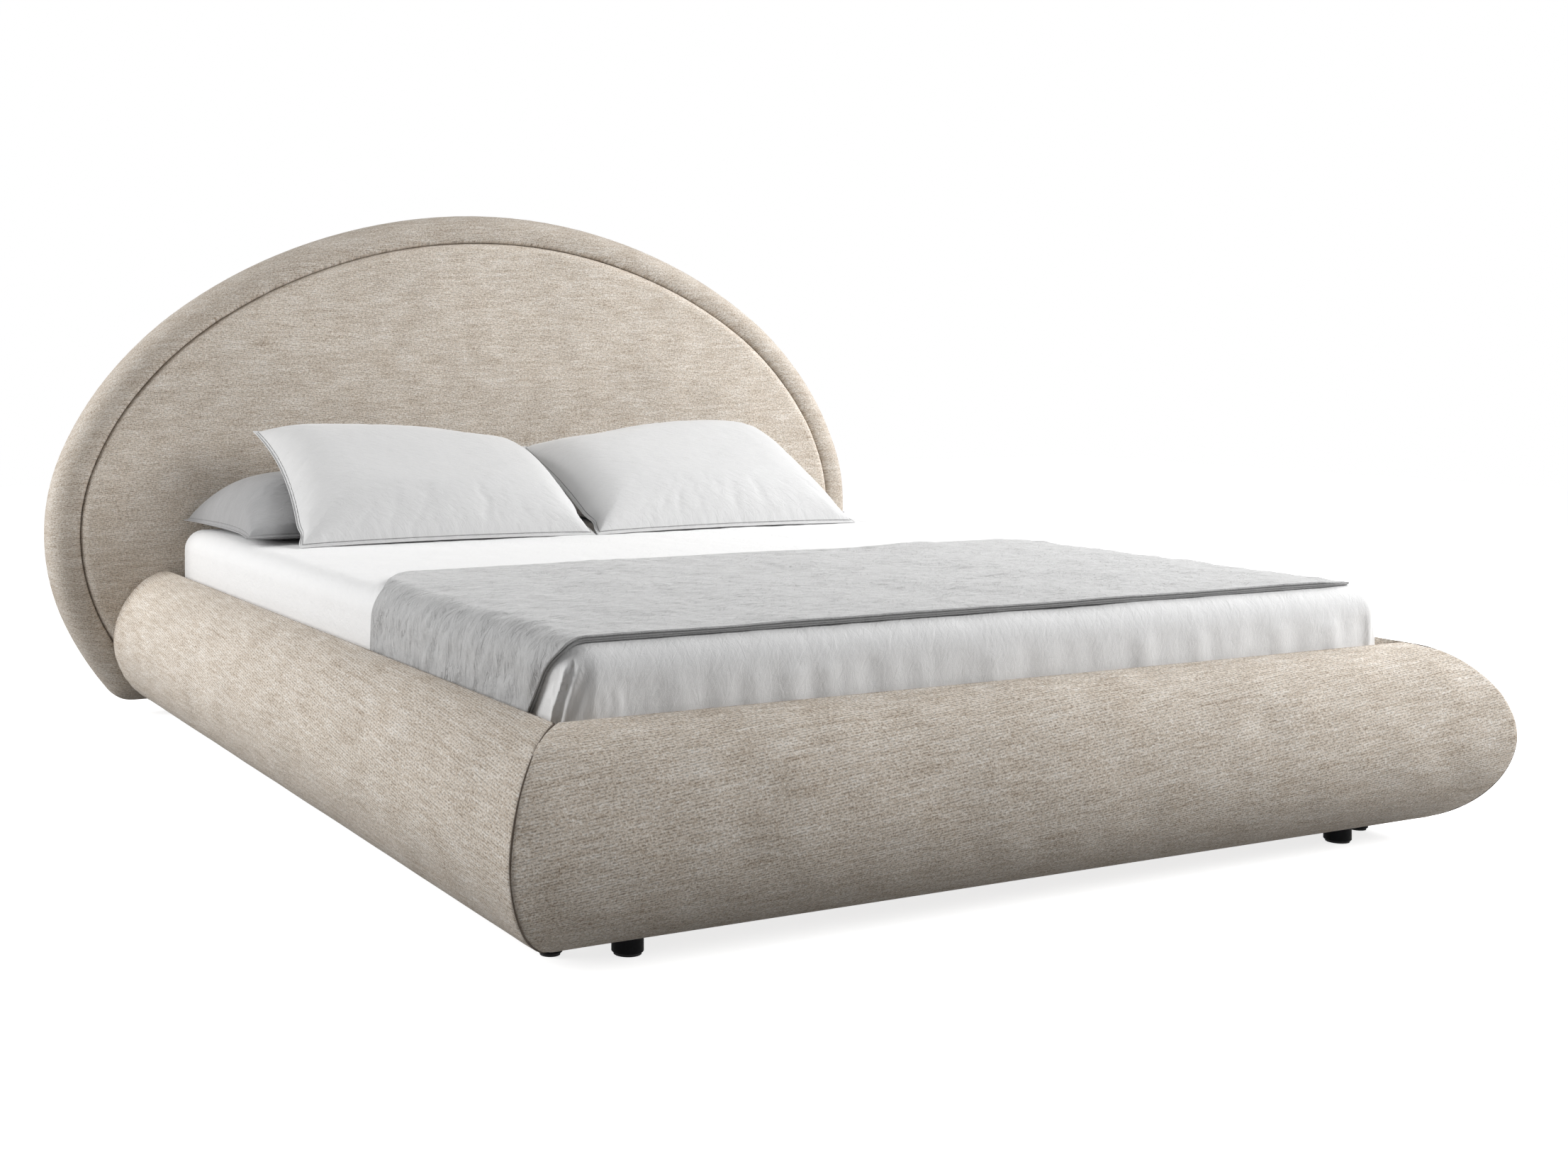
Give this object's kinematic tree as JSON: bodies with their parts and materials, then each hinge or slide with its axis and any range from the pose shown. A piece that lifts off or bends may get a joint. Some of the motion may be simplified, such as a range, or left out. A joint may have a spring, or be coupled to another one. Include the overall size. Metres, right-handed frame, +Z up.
{
  "type": "upholstered bed",
  "caption": "Upholstered double bed with a rounded elliptical headboard, bolster rails, sprung slat base, mattress, pillows and a throw.",
  "frame": {"origin": "on the floor, midway across the bed and midway between the foot rail's outer face and the headboard's back", "axes": "+X to the right seen from the foot, +Y from the foot to the headboard, +Z up"},
  "size_m": [2.1936, 2.258, 1.1948],
  "materials": {
    "upholstery": "greige melange boucle-like flat weave, matt",
    "back_lining": "dark non-woven lining, matt",
    "plywood": "raw birch plywood",
    "timber": "raw planed pine",
    "frame_paint": "black powder coat",
    "bracket_paint": "black powder coat",
    "bolt_steel": "zinc plated",
    "slat_wood": "bent birch veneer, clear lacquer",
    "holder_plastic": "moulded, matt",
    "leg_finish": "matt black",
    "glide_plastic": "moulded, matt",
    "pad_rubber": "matt",
    "ticking": "knitted cover",
    "sheet": "white cotton, slightly creased",
    "throw": "grey brushed, finely creased",
    "pillowcase": "white washed cotton",
    "rear_pillowcase": "light grey washed cotton"
  },
  "bodies": {
    "bed": {"headboard_rim": "upholstery", "headboard_panel": "upholstery", "foot_rail": "upholstery", "side_rail_left": "upholstery", "side_rail_right": "upholstery", "headboard_back_cover": "back_lining", "headboard_core": "plywood", "side_board_left": "plywood", "side_board_right": "plywood", "foot_board": "plywood", "headboard_batten_left": "timber", "headboard_batten_centre": "timber", "headboard_batten_right": "timber", "foot_cleat": "timber", "head_cleat": "timber", "side_cleat_left": "timber", "side_cleat_right": "timber", "base_tube_foot": "frame_paint", "base_tube_head": "frame_paint", "base_tube_centre": "frame_paint", "base_tube_left": "frame_paint", "base_tube_right": "frame_paint", "corner_bracket_left": "bracket_paint", "corner_bracket_right": "bracket_paint", "headboard_bracket_left": "bracket_paint", "headboard_bracket_right": "bracket_paint", "corner_bolts": "bolt_steel", "headboard_bolts": "bolt_steel", "leg_studs": "bolt_steel", "slats_left": "slat_wood", "slats_right": "slat_wood", "slat_holders_left": "holder_plastic", "slat_holders_right": "holder_plastic", "slat_holders_centre": "holder_plastic", "tube_end_caps": "holder_plastic", "foot_leg_left": "leg_finish", "foot_leg_right": "leg_finish", "side_leg_front_left": "leg_finish", "side_leg_rear_left": "leg_finish", "side_leg_front_right": "leg_finish", "side_leg_rear_right": "leg_finish", "centre_leg_front": "leg_finish", "centre_leg_rear": "leg_finish", "leg_pads": "pad_rubber"},
    "centre_glide_front": {"centre_glide_front": "glide_plastic"},
    "centre_glide_rear": {"centre_glide_rear": "glide_plastic"},
    "mattress": {"mattress": "ticking", "fitted_sheet": "sheet"},
    "throw": {"throw": "throw"},
    "rear_pillow_left": {"rear_pillow_left": "rear_pillowcase"},
    "rear_pillow_right": {"rear_pillow_right": "rear_pillowcase"},
    "front_pillow_left": {"front_pillow_left": "pillowcase"},
    "front_pillow_right": {"front_pillow_right": "pillowcase"}
  },
  "joints": [
    {"name": "mattress_lift", "type": "slide", "parent": "bed", "child": "mattress", "axis": [0, 0, 1], "range_m": [0, 0.25]},
    {"name": "throw_lift", "type": "slide", "parent": "mattress", "child": "throw", "axis": [0, 0, 1], "range_m": [0, 0.2]},
    {"name": "rear_pillow_left_lift", "type": "slide", "parent": "mattress", "child": "rear_pillow_left", "axis": [0, 0, 1], "range_m": [0, 0.2]},
    {"name": "rear_pillow_right_lift", "type": "slide", "parent": "mattress", "child": "rear_pillow_right", "axis": [0, 0, 1], "range_m": [0, 0.2]},
    {"name": "front_pillow_left_lift", "type": "slide", "parent": "rear_pillow_left", "child": "front_pillow_left", "axis": [0, 0, 1], "range_m": [0, 0.2]},
    {"name": "front_pillow_right_lift", "type": "slide", "parent": "rear_pillow_right", "child": "front_pillow_right", "axis": [0, 0, 1], "range_m": [0, 0.2]},
    {"name": "centre_glide_front_screw", "type": "slide", "parent": "bed", "child": "centre_glide_front", "axis": [0, 0, -1], "range_m": [0, 0.012]},
    {"name": "centre_glide_rear_screw", "type": "slide", "parent": "bed", "child": "centre_glide_rear", "axis": [0, 0, -1], "range_m": [0, 0.012]}
  ]
}
